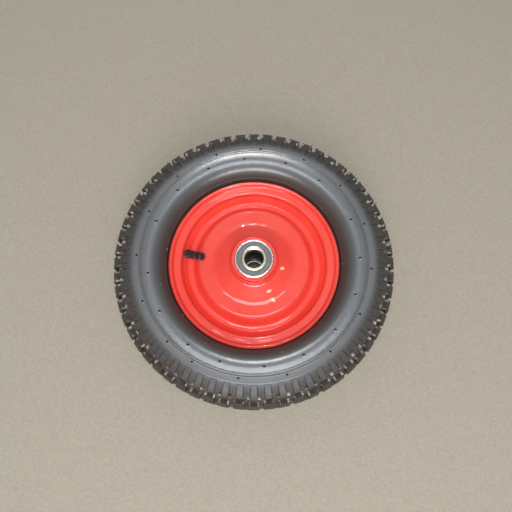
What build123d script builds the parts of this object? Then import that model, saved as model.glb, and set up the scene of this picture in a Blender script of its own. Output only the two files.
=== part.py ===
"""Wheelbarrow wheel with pneumatic tyre, pressed steel rim and two sealed ball bearings.

Millimetres. The wheel's axis is Z and the origin is the centre of the wheel, half way
between the two sides. The valve is on the upper side (+Z).
"""
import os
from math import cos, hypot, radians, sin

from build123d import *

# Tyre section
tyre_diameter = 392.0
tyre_width = 108.0
widest_above_seat = 40.4      # from the bead seat out to the widest point of the section
cavity_above_seat = 35.2      # the same for the hollow inside
sidewall_radius = 23.0        # lower sidewall, from the widest point down to the rim
tread_depth_crown = 6.4
tread_depth_shoulder = 4.6
crown_floor_angle = 20.0
carcass_under_tread = 5.0
carcass_sidewall = 6.2
cavity_side_radius = 12.0
bead_wall = 4.6
bead_width = 9.2
bead_toe_rise = 2.0
bead_toe_drop = 1.0           # from where the seat's wall bends down to the toe
bead_toe_round = 1.2
bead_heel_round = 3.0
rim_gap = 2.0                 # between the rim's edge and the sidewall above it

# Tread pattern, the same on both sides
pitch_count = 60
shoulder_bar_width = 8.6
bar_inner_angle = 70.0        # degrees round the section, from the crown
bar_outer_angle = 45.0
block_width = 14.2
lug_root = 3.0                # how far bars and blocks reach into the carcass
near_block_angles = (1.5, 24.0)
far_block_angles = (9.0, 33.0)

# Sidewall moulding
cord_line_offset = 8.0        # double groove, just outside the widest part
cord_line_drop = 1.35         # from the tyre's full width to the bottom of the grooves
cord_line_width = 1.6
cord_line_spacing = 3.0
rim_line_width = 1.2
rim_line_angle = 172.0        # round the lower sidewall, just above the rim's edge

# Rim half, one pressed sheet
sheet = 1.8
rim_edge_height = 26.5        # top of the rolled edge above the wheel's middle
edge_roll_width = 4.6
edge_roll_drop = 3.9
flange_ledge_height = 20.3
bead_seat_diameter = 203.2
flange_height = 15.4          # from the bead seat out to the rolled edge
bead_seat_depth = 8.4         # from the ledge down to where the well's wall starts
well_wall_run = 7.7           # radial run of the well's outer wall, its floor and its inner wall
well_floor_run = 9.0
well_inner_run = 8.0
shoulder_height = 20.4
dish_share = 0.534            # where the dish bends, from the neck out to the shoulder
dish_height = 19.2
neck_foot_height = 31.0
neck_top_height = 37.5
weld_clearance = 0.05
bead_clearance = 0.3
bead_seat_clearance = 0.05

# Hub tube
hub_length = 98.0
hub_wall = 4.0                # round the bearing
bearing_ledge = 3.0           # that the bearing's inner face stops against
seat_chamfer = 0.7

# Ball bearing
bore_diameter = 25.0
bearing_diameter = 52.0
bearing_width = 15.0
inner_land_drop = 5.8         # ring lands, from the ball circle's diameter
outer_land_rise = 7.7
seal_seat_step = 0.6
seal_thickness = 1.6
seal_recess = 0.35
seal_lip_clearance = 0.15
seal_ring_inset = 1.6
seal_ring_width = 1.0
seal_ring_depth = 0.4
ring_chamfer = 0.8
press_clearance = 0.01
ball_diameter = 7.938
ball_count = 9
race_groove_radius = 4.13
ball_clearance = 0.03
cage_inner_drop = 2.6
cage_outer_rise = 2.8
cage_height = 6.6
cage_floor = 0.7
pocket_clearance = 0.12

# Spacer between the inner rings
spacer_step = 0.7             # smaller than the inner ring's land
spacer_relief = 3.4           # wider than the bore

# Inner tube
tube_wall = 2.0
tube_clearance = 0.4
tube_neck_drop = 3.0          # inside the bead seat
tube_neck_half_width = 4.0

# Valve, measured along its own axis from the middle of the well's sloping wall
valve_azimuth = 170.3
valve_elevation = 45.0
valve_lean = 12.0
stem_diameter = 10.6
stem_hole_clearance = 0.3
stem_root = 6.5
stem_length = 25.0
stem_collar_diameter = 12.6
stem_collar_start = 1.9
stem_collar_length = 2.0
stem_rib_diameter = 11.4
stem_rib_positions = (6.5, 10.5)
stem_rib_length = 1.5
valve_body_diameter = 6.4
valve_thread_diameter = 7.7
valve_body_length = 35.5
valve_bore_diameter = 4.6
core_length = 16.0
core_bore_diameter = 1.9
core_recess = 1.6
core_clearance = 0.04
pin_diameter = 1.3
pin_foot_diameter = 3.2
pin_foot_length = 1.2
pin_seat_gap = 0.3
cap_diameter = 10.2
cap_length = 12.2
cap_wall_top = 1.8
cap_seat_gap = 0.4
cap_thread_clearance = 0.08
cap_flute_count = 12
cap_flute_depth = 0.35
cap_flute_width = 1.1

# Worked out from the sizes above
tyre_radius = tyre_diameter / 2
half_width = tyre_width / 2
seat_radius = bead_seat_diameter / 2
section_centre = seat_radius + widest_above_seat
crown_reach = tyre_radius - section_centre
floor_radius = tyre_radius - tread_depth_crown
half_hub = hub_length / 2
bearing_centre = half_hub - bearing_width / 2
ledge_underside = flange_ledge_height - sheet
seat_wall = seat_radius - sheet / 2
pitch_angle = 360 / pitch_count
rim_radius = seat_radius + flange_height
ledge_outer_radius = rim_radius - edge_roll_width - sheet
hub_outer_radius = bearing_diameter / 2 + hub_wall
hub_inner_radius = bearing_diameter / 2 - bearing_ledge
neck_radius = hub_outer_radius + weld_clearance + sheet / 2
bearing_seat = bearing_diameter / 2 + press_clearance
well_outer_radius = seat_wall - well_wall_run
well_inner_radius = well_outer_radius - well_floor_run
shoulder_radius = well_inner_radius - well_inner_run
dish_radius = neck_radius + dish_share * (shoulder_radius - neck_radius)
ball_pitch_diameter = (bore_diameter + bearing_diameter) / 2
inner_ring_diameter = ball_pitch_diameter - inner_land_drop
outer_ring_land = ball_pitch_diameter + outer_land_rise
seal_seat_diameter = outer_ring_land + 2 * seal_seat_step
seal_ring_diameter = outer_ring_land - seal_ring_inset
valve_heading = valve_azimuth + 180 - valve_lean


def on_section(angle, inset=0.0):
    """Point on the tyre's outer section at an angle from the crown, in the radial plane."""
    return on_oval((section_centre, 0), (crown_reach - inset, half_width - inset), angle)


def on_oval(centre, reach, angle):
    """Point on an oval in the radial plane, given its reach outwards and upwards."""
    return (centre[0] + reach[0] * cos(radians(angle)), centre[1] + reach[1] * sin(radians(angle)))


os.makedirs("parts", exist_ok=True)


def save(built, label):
    """Name a finished piece, write it and say how large it is."""
    built.part.label = label
    export_step(built.part, f"parts/{label}.step")
    box = built.part.bounding_box()
    print(f"{label}: {len(built.part.solids())} solids, {built.part.volume / 1000:.2f} cm3, "
          f"z {box.min.Z:.1f} to {box.max.Z:.1f}")


# Tyre: outer section from the tread floor to the bead, then back through the cavity
floor_start = on_section(bar_inner_angle)

side_foot = (rim_radius + rim_gap, half_width - sidewall_radius)
side_centre = (section_centre, side_foot[1])
side_reach = (section_centre - side_foot[0], sidewall_radius)
under_edge = rim_edge_height - edge_roll_drop - sheet / 2 - bead_clearance
bead_outer = ledge_underside - bead_clearance
bead_radius = seat_radius + bead_seat_clearance
bead_toe_height = ledge_underside - bead_seat_depth - bead_toe_drop

cavity_radius = floor_radius - carcass_under_tread
cavity_half_width = half_width - carcass_sidewall
cavity_centre = seat_radius + cavity_above_seat
cavity_reach = (cavity_radius - cavity_centre, cavity_half_width)
cavity_side_centre = (cavity_centre, cavity_half_width - cavity_side_radius)
cavity_side_reach = (cavity_side_radius, cavity_side_radius)
cavity_foot = (cavity_centre - cavity_side_radius, cavity_half_width - cavity_side_radius)
bead_inner_low = (bead_radius + bead_width, bead_toe_height + bead_toe_rise)
bead_inner_high = (side_foot[0] + bead_wall, under_edge + bead_toe_rise)

shoulder_floor = on_section(bar_outer_angle - 2, tread_depth_shoulder)
crown_floor = on_section(crown_floor_angle, tread_depth_crown)


def lug(angles, width, depths):
    """One raised lug of the tread, flat on top, rooted in the carcass below its floor."""
    start, end = angles
    with BuildPart() as raised:
        with BuildSketch(Plane.XZ):
            with BuildLine():
                Polyline(on_section(start), on_section((start + end) / 2), on_section(end),
                         on_section(end, depths[1]), on_section(start, depths[0]), close=True)
            make_face()
        extrude(amount=width / 2, both=True)
    return raised.part


block_depths = (tread_depth_crown + lug_root, tread_depth_crown + lug_root)
near_block = lug(near_block_angles, block_width, block_depths)
far_block = lug(far_block_angles, block_width, block_depths)
shoulder_bar = lug((bar_outer_angle, bar_inner_angle - 4), shoulder_bar_width,
                   (tread_depth_shoulder + lug_root, lug_root))


def turned(piece, angle, below=False):
    """A lug turned round the wheel, or mirrored for the lower side and set half a pitch on."""
    if below:
        return piece.rotate(Axis.Z, angle + pitch_angle / 2).mirror(Plane.XY)
    return piece.rotate(Axis.Z, angle)


two_pitches = [
    turned(shoulder_bar, 0), turned(shoulder_bar, pitch_angle),
    turned(shoulder_bar, 0, below=True), turned(shoulder_bar, pitch_angle, below=True),
    turned(far_block, 0), turned(near_block, pitch_angle),
    turned(near_block, 0, below=True), turned(far_block, pitch_angle, below=True),
]

with BuildPart() as tyre:
    with BuildSketch(Plane.XZ):
        with BuildLine():
            Polyline((floor_radius, 0), crown_floor, shoulder_floor, floor_start)
            ThreePointArc(floor_start, on_section((bar_inner_angle + 90) / 2), on_section(90))
            ThreePointArc(on_section(90), on_oval(side_centre, side_reach, 135), side_foot)
            Polyline(side_foot, (side_foot[0] - rim_gap / 3, under_edge + bead_toe_round),
                     (rim_radius - rim_gap / 3, under_edge),
                     (ledge_outer_radius, bead_outer),
                     (bead_radius + bead_heel_round, bead_outer),
                     (bead_radius, bead_outer - bead_heel_round),
                     (bead_radius, bead_toe_height),
                     (bead_radius + bead_toe_rise, bead_toe_height - bead_toe_round),
                     bead_inner_low, bead_inner_high, cavity_foot)
            ThreePointArc(cavity_foot, on_oval(cavity_side_centre, cavity_side_reach, 135),
                          (cavity_centre, cavity_half_width))
            ThreePointArc((cavity_centre, cavity_half_width),
                          on_oval((cavity_centre, 0), cavity_reach, 45), (cavity_radius, 0))
            mirror(about=Plane.XZ)
        make_face()
        # Thin raised line beside the rim's edge
        for side in (1, -1):
            foot_r, foot_z = on_oval(side_centre, side_reach, rim_line_angle)
            with Locations((foot_r, side * foot_z)):
                Circle(rim_line_width / 2)
        # Double groove at the widest part of the sidewall
        for side in (1, -1):
            for offset_r in (-cord_line_spacing / 2, cord_line_spacing / 2):
                with Locations((section_centre + cord_line_offset + offset_r, side * half_width)):
                    Rectangle(cord_line_width, 2 * cord_line_drop, mode=Mode.SUBTRACT)
    revolve(axis=Axis.Z)
    with PolarLocations(0, pitch_count // 2):
        add(two_pitches)
save(tyre, "tyre")


# Rim: one pressed half, from its rolled edge down to the well and up to the hub
roll_outer = rim_radius - sheet / 2
roll_top = rim_edge_height - sheet / 2
ledge = flange_ledge_height - sheet / 2
rim_path = [
    (roll_outer, rim_edge_height - edge_roll_drop),
    (roll_outer, roll_top),
    (roll_outer - edge_roll_width + sheet, roll_top),
    (ledge_outer_radius, ledge),
    (seat_wall, ledge),
    (seat_wall, ledge - bead_seat_depth),
    (well_outer_radius, sheet / 2),
    (well_inner_radius, sheet / 2),
    (shoulder_radius, shoulder_height - sheet / 2),
    (dish_radius, dish_height - sheet / 2),
    (neck_radius, neck_foot_height - sheet / 2),
    (neck_radius, neck_top_height),
]
rim_bends = (1.7, 2.2, 2.4, 2.6, 5.0, 4.5, 4.5, 5.0, 22.0, 6.0)

wall_top = (seat_wall, ledge - bead_seat_depth)
wall_foot = (well_outer_radius, sheet / 2)
wall_run = hypot(wall_top[0] - wall_foot[0], wall_top[1] - wall_foot[1])
wall_normal = ((wall_foot[1] - wall_top[1]) / wall_run, (wall_top[0] - wall_foot[0]) / wall_run)
valve_exit_radius = (wall_top[0] + wall_foot[0] + wall_normal[0] * sheet) / 2
valve_exit_height = (wall_top[1] + wall_foot[1] + wall_normal[1] * sheet) / 2
valve_frame = Plane(
    origin=(valve_exit_radius * cos(radians(valve_azimuth)),
            valve_exit_radius * sin(radians(valve_azimuth)), valve_exit_height),
    x_dir=(-sin(radians(valve_azimuth)), cos(radians(valve_azimuth)), 0),
    z_dir=(cos(radians(valve_elevation)) * cos(radians(valve_heading)),
           cos(radians(valve_elevation)) * sin(radians(valve_heading)),
           sin(radians(valve_elevation))),
)


def pressed_half():
    """One pressed rim half for the upper side, turned from its section."""
    with BuildPart() as half:
        with BuildSketch(Plane.XZ):
            with BuildLine(mode=Mode.PRIVATE) as middle_line:
                FilletPolyline(*rim_path, radius=rim_bends)
            make_face(middle_line.wire().offset_2d(sheet / 2, side=Side.BOTH).edges())
        revolve(axis=Axis.Z)
    return half.part


upper_pressing = pressed_half()

with BuildPart() as rim_upper_half:
    add(upper_pressing)
    with BuildSketch(valve_frame.offset(-stem_root)):
        Circle(stem_diameter / 2 + stem_hole_clearance)
    extrude(amount=2 * stem_root, mode=Mode.SUBTRACT)
save(rim_upper_half, "rim_upper_half")

with BuildPart() as rim_lower_half:
    add(upper_pressing.mirror(Plane.XY))
save(rim_lower_half, "rim_lower_half")

# Hub tube: a seat for a bearing at each end and a relief between them
with BuildPart() as hub_tube:
    with BuildSketch(Plane.XZ):
        with BuildLine():
            Polyline((hub_outer_radius, 0), (hub_outer_radius, half_hub - seat_chamfer),
                     (hub_outer_radius - seat_chamfer, half_hub),
                     (bearing_seat + seat_chamfer, half_hub),
                     (bearing_seat, half_hub - seat_chamfer),
                     (bearing_seat, half_hub - bearing_width),
                     (hub_inner_radius, half_hub - bearing_width),
                     (hub_inner_radius, 0))
            mirror(about=Plane.XZ)
        make_face()
    revolve(axis=Axis.Z)
save(hub_tube, "hub_tube")

# Inner tube: hollow, fills the tyre's cavity and dips between the beads
tube_crown = cavity_radius - tube_clearance
tube_side = cavity_half_width - tube_clearance
tube_side_reach = (cavity_side_radius - tube_clearance, cavity_side_radius - tube_clearance)
tube_foot = (cavity_foot[0] + tube_clearance, cavity_foot[1])
tube_neck_radius = seat_radius - tube_neck_drop
with BuildPart() as inner_tube:
    with BuildSketch(Plane.XZ):
        with BuildLine():
            ThreePointArc((tube_crown, 0),
                          on_oval((cavity_centre, 0), (tube_crown - cavity_centre, tube_side), 45),
                          (cavity_centre, tube_side))
            ThreePointArc((cavity_centre, tube_side),
                          on_oval(cavity_side_centre, tube_side_reach, 135), tube_foot)
            Polyline(tube_foot, (bead_inner_high[0] + 1.5 * tube_clearance, bead_inner_high[1]),
                     (bead_inner_low[0], bead_inner_low[1] - 2.5 * tube_clearance),
                     (tube_neck_radius, tube_neck_half_width), (tube_neck_radius, 0))
            mirror(about=Plane.XZ)
        make_face()
        offset(amount=-tube_wall, kind=Kind.INTERSECTION, mode=Mode.SUBTRACT)
    revolve(axis=Axis.Z)
    # Hole where the valve's foot is bonded in
    with BuildSketch(valve_frame.offset(-stem_root)):
        Circle(stem_diameter / 2 + tube_clearance / 2)
    extrude(amount=stem_root, mode=Mode.SUBTRACT)
save(inner_tube, "inner_tube")

# Valve stem: rubber, with a collar outside the rim and two ribs
stem_radius = stem_diameter / 2
with BuildPart() as valve_stem:
    with BuildSketch(valve_frame.offset(-stem_root)):
        Circle(stem_radius)
    extrude(amount=stem_root + stem_length)
    with BuildSketch(valve_frame.offset(stem_collar_start)):
        Circle(stem_collar_diameter / 2)
    extrude(amount=stem_collar_length)
    for rib in stem_rib_positions:
        with BuildSketch(valve_frame.offset(rib)):
            Circle(stem_rib_diameter / 2)
        extrude(amount=stem_rib_length)
    with BuildSketch(valve_frame.offset(-stem_root)):
        Circle(valve_body_diameter / 2)
    extrude(amount=stem_root + stem_length, mode=Mode.SUBTRACT)
save(valve_stem, "valve_stem")

# Valve body: brass, thin where it is bonded in the rubber, threaded above it
with BuildPart() as valve_body:
    with BuildSketch(valve_frame.offset(-stem_root)):
        Circle(valve_body_diameter / 2)
    extrude(amount=stem_root + stem_length)
    with BuildSketch(valve_frame.offset(stem_length)):
        Circle(valve_thread_diameter / 2)
    extrude(amount=valve_body_length - stem_length)
    with BuildSketch(valve_frame.offset(-stem_root)):
        Circle(valve_bore_diameter / 2)
    extrude(amount=stem_root + valve_body_length, mode=Mode.SUBTRACT)
save(valve_body, "valve_body")

# Valve core: a barrel in the body's bore, with a pin that lets the air out
core_top = valve_body_length - core_recess
core_bottom = core_top - core_length
with BuildPart() as valve_core:
    with BuildSketch(valve_frame.offset(core_bottom)):
        Circle(valve_bore_diameter / 2 - core_clearance)
        Circle(core_bore_diameter / 2, mode=Mode.SUBTRACT)
    extrude(amount=core_length)
save(valve_core, "valve_core")

pin_bottom = core_bottom - pin_seat_gap - pin_foot_length
with BuildPart() as valve_pin:
    with BuildSketch(valve_frame.offset(pin_bottom)):
        Circle(pin_diameter / 2)
    extrude(amount=valve_body_length - pin_bottom)
    with BuildSketch(valve_frame.offset(pin_bottom)):
        Circle(pin_foot_diameter / 2)
    extrude(amount=pin_foot_length)
save(valve_pin, "valve_pin")

cap_start = stem_length + cap_seat_gap

# Valve cap: screwed over the thread, with flutes for the fingers
with BuildPart() as valve_cap:
    with BuildSketch(valve_frame.offset(cap_start)):
        Circle(cap_diameter / 2)
        with PolarLocations(cap_diameter / 2, cap_flute_count):
            Rectangle(2 * cap_flute_depth, cap_flute_width, mode=Mode.SUBTRACT)
    extrude(amount=cap_length)
    with BuildSketch(valve_frame.offset(cap_start)):
        Circle(valve_thread_diameter / 2 + cap_thread_clearance)
    extrude(amount=cap_length - cap_wall_top, mode=Mode.SUBTRACT)
save(valve_cap, "valve_cap")


# Ball bearings: rings, seals, balls and cage, made for the upper side and mirrored
def turned_ring(inner_radius, outer_radius, groove_radius, seal_step=0.0):
    """One bearing ring with its ball groove and, on an outer ring, the steps for the seals."""
    half = bearing_width / 2
    with BuildPart() as ring:
        with BuildSketch(Plane.XZ):
            with Locations(((inner_radius + outer_radius) / 2, bearing_centre)):
                Rectangle(outer_radius - inner_radius, bearing_width)
            with Locations((groove_radius, bearing_centre)):
                Circle(race_groove_radius, mode=Mode.SUBTRACT)
            if seal_step:
                step_depth = seal_recess + seal_thickness
                for face in (half - step_depth / 2, step_depth / 2 - half):
                    with Locations((inner_radius + seal_step / 2, bearing_centre + face)):
                        Rectangle(seal_step, step_depth, mode=Mode.SUBTRACT)
        revolve(axis=Axis.Z)
        rims = ring.edges().filter_by(GeomType.CIRCLE)
        mating = outer_radius if seal_step else inner_radius
        corners = [edge for edge in rims if abs(edge.radius - mating) < ring_chamfer / 2]
        chamfer(corners, ring_chamfer)
    return ring.part


groove_offset = race_groove_radius - ball_diameter / 2
inner_ring_form = turned_ring(bore_diameter / 2, inner_ring_diameter / 2,
                              ball_pitch_diameter / 2 + groove_offset - ball_clearance)
outer_ring_form = turned_ring(outer_ring_land / 2, bearing_diameter / 2,
                              ball_pitch_diameter / 2 - groove_offset + ball_clearance,
                              seal_step=seal_seat_step)


def seal_form(outward):
    """Rubber seal, pressed into the outer ring and clear of the inner one."""
    half = bearing_width / 2 - seal_recess
    low = bearing_centre + (half - seal_thickness if outward else -half)
    lip_radius = inner_ring_diameter / 2 + seal_lip_clearance
    with BuildPart() as seal:
        with BuildSketch(Plane.XY.offset(low)):
            Circle(seal_seat_diameter / 2)
            Circle(lip_radius, mode=Mode.SUBTRACT)
        extrude(amount=seal_thickness)
        with BuildSketch(Plane.XY.offset(low + seal_thickness - seal_ring_depth if outward else low)):
            Circle(seal_ring_diameter / 2 + seal_ring_width / 2)
            Circle(seal_ring_diameter / 2 - seal_ring_width / 2, mode=Mode.SUBTRACT)
        extrude(amount=seal_ring_depth, mode=Mode.SUBTRACT)
    return seal.part


with BuildPart() as balls_form:
    with BuildSketch(Plane.XZ):
        with BuildLine():
            ball_bottom = (0, bearing_centre - ball_diameter / 2)
            ball_top = (0, bearing_centre + ball_diameter / 2)
            ThreePointArc(ball_bottom, (ball_diameter / 2, bearing_centre), ball_top)
            Line(ball_top, ball_bottom)
        make_face()
    revolve(axis=Axis.Z)
one_ball = balls_form.part

with BuildPart() as ball_row:
    with PolarLocations(ball_pitch_diameter / 2, ball_count):
        add(one_ball)

cage_bottom = bearing_centre - ball_diameter / 2 - cage_floor
with BuildPart() as cage_form:
    with BuildSketch(Plane.XY.offset(cage_bottom)):
        Circle((ball_pitch_diameter + cage_outer_rise) / 2)
        Circle((ball_pitch_diameter - cage_inner_drop) / 2, mode=Mode.SUBTRACT)
    extrude(amount=cage_height)
    with PolarLocations(ball_pitch_diameter / 2, ball_count):
        with Locations((0, 0, bearing_centre)):
            Sphere(ball_diameter / 2 + pocket_clearance, mode=Mode.SUBTRACT)

bearing_forms = {
    "bearing_outer_ring": outer_ring_form,
    "bearing_inner_ring": inner_ring_form,
    "bearing_face_seal": seal_form(outward=True),
    "bearing_back_seal": seal_form(outward=False),
    "bearing_balls": ball_row.part,
    "bearing_cage": cage_form.part,
}
for side in ("upper", "lower"):
    for piece, form in bearing_forms.items():
        with BuildPart() as bearing_piece:
            add(form if side == "upper" else form.mirror(Plane.XY))
        save(bearing_piece, f"{side}_{piece}")

# Spacer sleeve between the two inner rings
with BuildPart() as spacer_sleeve:
    with BuildSketch(Plane.XY.offset(bearing_width - half_hub)):
        Circle((inner_ring_diameter - spacer_step) / 2)
        Circle((bore_diameter + spacer_relief) / 2, mode=Mode.SUBTRACT)
    extrude(amount=hub_length - 2 * bearing_width)
save(spacer_sleeve, "spacer_sleeve")
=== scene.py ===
# %% [markdown]
# This notebook dresses a wheelbarrow wheel for its picture. The wheel's real pieces, with their true
# sizes and places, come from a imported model. Everything made here is measured in metres in that same
# frame: the wheel's axis is Z, its middle is the origin, and it lies on its side with the valve up.
# Loading comes first, so that every later cell can ask the model where a piece is.

# %% Load the wheel
import random
from math import atan2, cos, degrees, hypot, pi, radians, sin, sqrt, tan

import bmesh
import bpy
from mathutils import Matrix, Vector


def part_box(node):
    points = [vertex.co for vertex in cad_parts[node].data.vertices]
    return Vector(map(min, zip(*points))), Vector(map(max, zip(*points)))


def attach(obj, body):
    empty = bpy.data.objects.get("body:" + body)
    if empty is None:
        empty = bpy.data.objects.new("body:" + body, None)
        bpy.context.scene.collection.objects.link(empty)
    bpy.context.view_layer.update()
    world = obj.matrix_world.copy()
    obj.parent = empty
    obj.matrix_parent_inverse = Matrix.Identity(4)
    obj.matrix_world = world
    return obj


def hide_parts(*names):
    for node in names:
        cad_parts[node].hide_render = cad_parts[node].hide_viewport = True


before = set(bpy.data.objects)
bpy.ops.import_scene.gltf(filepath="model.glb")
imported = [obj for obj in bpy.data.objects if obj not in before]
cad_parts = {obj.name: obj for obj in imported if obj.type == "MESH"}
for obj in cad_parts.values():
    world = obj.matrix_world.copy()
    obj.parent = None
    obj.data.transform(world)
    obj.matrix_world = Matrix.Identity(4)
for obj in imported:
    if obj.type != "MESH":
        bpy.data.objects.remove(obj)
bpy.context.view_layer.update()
millimetre = 0.001

# %% [markdown]
# The camera stands where the photograph was taken from: about 0.7 m above the wheel, a little nearer to
# us than straight overhead. In Blender a camera looks down its own -Z. One way to aim it is a
# constraint, but a rotation worked out once is plainer. The small pan and tilt put the hub where the
# picture has it.

# %% Camera
camera_distance = 0.700
camera_lean = 11.5            # degrees from straight overhead, towards the viewer
camera_pan = -0.004           # radians
camera_tilt = 0.020
focal_pixels = 493.7
picture_pixels = 512
sensor_width = 36.0

camera_data = bpy.data.cameras.new("camera")
camera_data.sensor_width = sensor_width
camera_data.lens = focal_pixels / picture_pixels * sensor_width
camera = bpy.data.objects.new("camera", camera_data)
bpy.context.collection.objects.link(camera)
lean = radians(camera_lean)
camera.location = (0, -camera_distance * sin(lean), camera_distance * cos(lean))
aim = Matrix.Rotation(lean, 3, "X")
turn = Matrix.Rotation(camera_pan, 3, "Y") @ Matrix.Rotation(camera_tilt, 3, "X")
camera.rotation_euler = (aim @ turn).to_euler()
bpy.context.scene.camera = camera
print("lens in mm:", round(camera_data.lens, 2))

# %% [markdown]
# A finish in Blender is a small network of nodes. Adding nodes by hand takes many lines, so this helper
# adds one node, sets its options, and fills its inputs either with a plain value or with a link from
# another node. The position of a point on the wheel comes from its object coordinates, which are the
# real metres of the frame, so a pattern keeps its true scale on every piece.

# %% Helpers for finishes
def add_node(tree, kind, values=None, **options):
    """One shader node. Values are the inputs by name or number, each a plain value or a socket."""
    node = tree.nodes.new("ShaderNode" + kind)
    for option, choice in options.items():
        setattr(node, option, choice)
    for socket, value in (values or {}).items():
        if isinstance(value, bpy.types.NodeSocket):
            tree.links.new(value, node.inputs[socket])
        else:
            node.inputs[socket].default_value = value
    return node


def new_finish(name, **plain):
    """A material with a Principled shader, whose plain numbers are set on the shader's own sockets."""
    finish = bpy.data.materials.new(name)
    finish.use_nodes = True
    shader = finish.node_tree.nodes["Principled BSDF"]
    for socket, value in plain.items():
        shader.inputs[socket.replace("_", " ").title().replace("Ior", "IOR")].default_value = value
    return finish, finish.node_tree, shader


def feed(tree, shader, **sources):
    """Link sources to the shader's sockets, named in the same way."""
    for socket, source in sources.items():
        tree.links.new(source, shader.inputs[socket.replace("_", " ").title()])


def place_of(tree):
    """Where a point is, in metres of the frame."""
    return add_node(tree, "TexCoord").outputs["Object"]


def maths(tree, operation, first, second=0.0, third=0.0):
    """One step of arithmetic."""
    return add_node(tree, "Math", {0: first, 1: second, 2: third}, operation=operation).outputs[0]


def noise(tree, place, scale, detail=4.0, roughness=0.55):
    """Cloudy noise, whose scale is in spots a metre."""
    values = {"Vector": place, "Scale": scale, "Detail": detail, "Roughness": roughness}
    return add_node(tree, "TexNoise", values).outputs["Fac"]


def ramp(tree, value, low, high, start=0.0, end=1.0):
    """Straight change from start to end while the value goes from low to high."""
    values = {"Value": value, "From Min": low, "From Max": high, "To Min": start, "To Max": end}
    return add_node(tree, "MapRange", values, clamp=True).outputs["Result"]


def mixed(tree, share, first, second):
    """Two colours mixed by a share."""
    node = add_node(tree, "Mix", data_type="RGBA")
    for number, value in ((0, share), (6, first), (7, second)):
        if isinstance(value, bpy.types.NodeSocket):
            tree.links.new(value, node.inputs[number])
        else:
            node.inputs[number].default_value = value
    return node.outputs[2]


def bump(tree, height, distance, strength=1.0):
    """Fine relief, whose depth is in metres."""
    return add_node(tree, "Bump", {"Height": height, "Distance": distance,
                                   "Strength": strength}).outputs["Normal"]


def radius_of(tree, place):
    """Distance from the wheel's axis."""
    parts = add_node(tree, "SeparateXYZ", {0: place})
    squares = maths(tree, "MULTIPLY", parts.outputs[0], parts.outputs[0])
    total = maths(tree, "MULTIPLY_ADD", parts.outputs[1], parts.outputs[1], squares)
    return maths(tree, "SQRT", total)


print("helpers ready")

# %% [markdown]
# The tyre is black rubber. Its sidewall is smooth and takes a soft bluish sheen from the lights, and the
# crest's paler bluish grey is partly dust and partly a painted sheen. The tread has been dusted by use:
# grey film on what stands proud, brown soil in the hollows, and a deep brown on its outermost edge. All
# of it comes from one network. The radius from the axis tells sidewall from tread, and noise breaks up the
# edges, because dirt never stops at a line.

# %% Rubber finishes
def rubber_finish(name, pocket_share, bar_share):
    """Tyre rubber: dust and a painted bluish sheen on the crest, dust on the band, worn bars, soil in the
    hollows, a darker outer edge.
    """
    finish, tree, shader = new_finish(name, specular_ior_level=0.28, coat_roughness=0.27, coat_ior=1.75)
    place = place_of(tree)
    radius = radius_of(tree, place)
    cloud = noise(tree, place, 30.0, 5.0)
    grain = noise(tree, place, 420.0, 3.0)
    speck = noise(tree, place, 1500.0, 2.0)
    smear = noise(tree, place, 75.0, 6.0, 0.7)
    inner = ramp(tree, radius, 0.1165, 0.1195)
    colour = mixed(tree, inner, (0.012, 0.010, 0.009, 1), (0.066, 0.061, 0.055, 1))
    # The crest's paler bluish grey is partly dust and partly a painted sheen.
    crest_dust_and_sheen = maths(tree, "MULTIPLY", ramp(tree, radius, 0.124, 0.138),
                  ramp(tree, smear, 0.25, 0.75, 0.35, 1.0))
    colour = mixed(tree, crest_dust_and_sheen, colour, (0.118, 0.122, 0.132, 1))
    band = maths(tree, "MULTIPLY", ramp(tree, radius, 0.1518, 0.1532),
                 ramp(tree, cloud, 0.25, 0.7, 0.5, 0.95))
    colour = mixed(tree, band, colour, (0.165, 0.162, 0.156, 1))
    worn = ramp(tree, grain, 0.3, 0.7, bar_share * 0.55, bar_share)
    bar = maths(tree, "MULTIPLY", ramp(tree, radius, 0.157, 0.166), worn)
    colour = mixed(tree, bar, colour, (0.030, 0.030, 0.032, 1))
    patch = ramp(tree, noise(tree, place, 85.0, 4.0, 0.65), 0.36, 0.60)
    soil = maths(tree, "MULTIPLY", ramp(tree, radius, 0.163, 0.173, 0.0, pocket_share), patch)
    colour = mixed(tree, soil, colour, (0.092, 0.056, 0.028, 1))
    # The tread's outermost edge is darkened to a deep brown.
    outer = maths(tree, "MULTIPLY", ramp(tree, radius, 0.1835, 0.187),
                  ramp(tree, smear, 0.3, 0.6, 0.65, 1.0))
    colour = mixed(tree, outer, colour, (0.052, 0.037, 0.022, 1))
    polish = maths(tree, "MULTIPLY", ramp(tree, radius, 0.122, 0.134), ramp(tree, radius, 0.162, 0.150))
    worn_polish = maths(tree, "MULTIPLY", polish, ramp(tree, smear, 0.2, 0.7, 1.0, 0.55))
    relief = maths(tree, "MULTIPLY_ADD", grain, 0.6, maths(tree, "MULTIPLY", speck, 0.4))
    relief = maths(tree, "MULTIPLY_ADD", smear, 1.2, relief)
    skin = bump(tree, relief, 0.00024, 0.5)
    feed(tree, shader, base_color=colour, coat_weight=worn_polish, normal=skin, coat_normal=skin,
         roughness=ramp(tree, smear, 0.2, 0.8, 0.42, 0.62))
    return finish


casing_rubber = rubber_finish("tyre rubber", 0.95, 0.75)
lug_rubber = rubber_finish("lug rubber", 0.30, 0.95)
print("rubber:", casing_rubber.name, lug_rubber.name)

# %% [markdown]
# Two small finishes complete the tyre. The studs of the tread carry pale dust, which noise takes away
# again in patches, and the vent marks of the sidewall are nearly black in the middle.

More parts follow.
